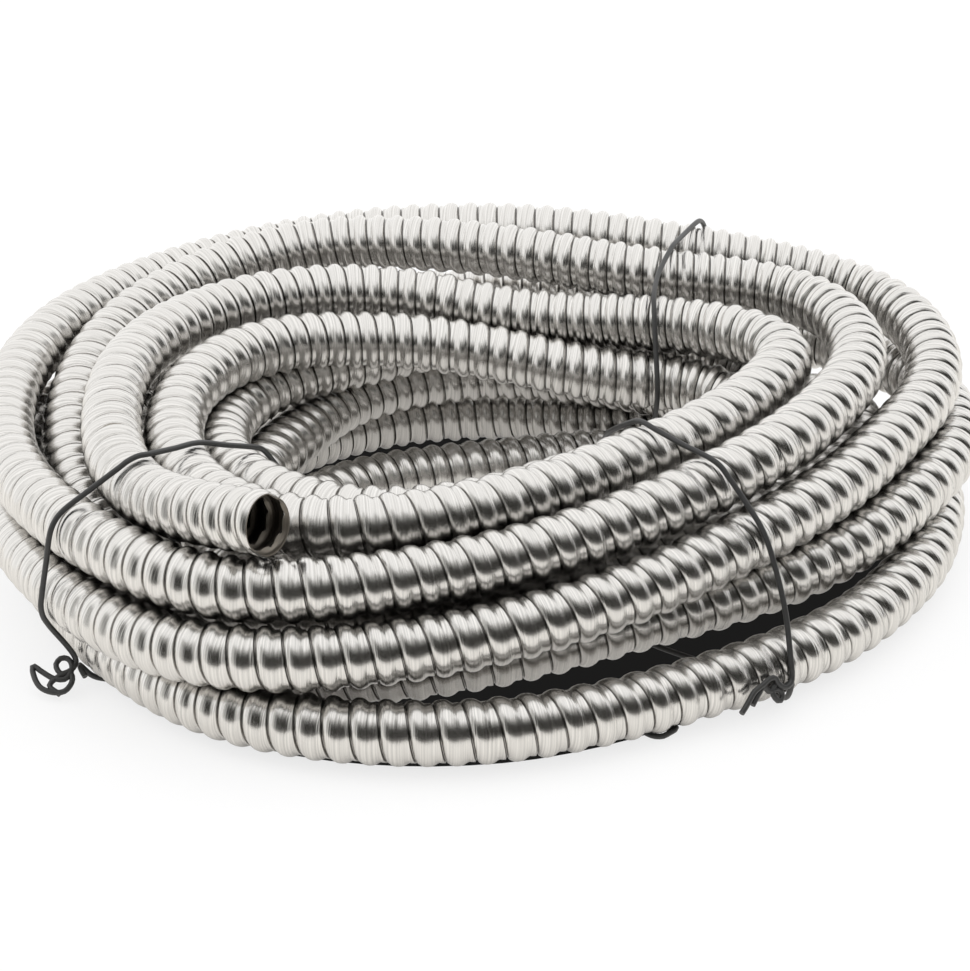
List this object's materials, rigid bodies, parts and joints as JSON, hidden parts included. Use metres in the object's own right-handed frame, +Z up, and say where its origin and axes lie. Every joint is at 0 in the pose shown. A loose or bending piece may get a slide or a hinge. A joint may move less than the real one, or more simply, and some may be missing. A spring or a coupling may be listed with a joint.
{
  "type": "flexible conduit coil",
  "caption": "Coil of corrugated metal flexible conduit, an open-ended round hose of strip wound in a ribbed helix, held together with twisted wire ties.",
  "frame": {"origin": "middle of the coil's footprint, on the ground", "axes": "+Z up, the coil lies flat; +X to the right and +Y away as the picture sees it"},
  "size_m": [0.3612, 0.3334, 0.0903],
  "materials": {
    "stainless_strip": "bright rolled stainless steel strip, faint lines along the strip",
    "black_wire": "black plastic-coated soft wire, satin"
  },
  "bodies": {
    "root": {"conduit": "stainless_strip", "tie_left": "black_wire", "tie_back": "black_wire", "tie_front": "black_wire"}
  },
  "joints": []
}
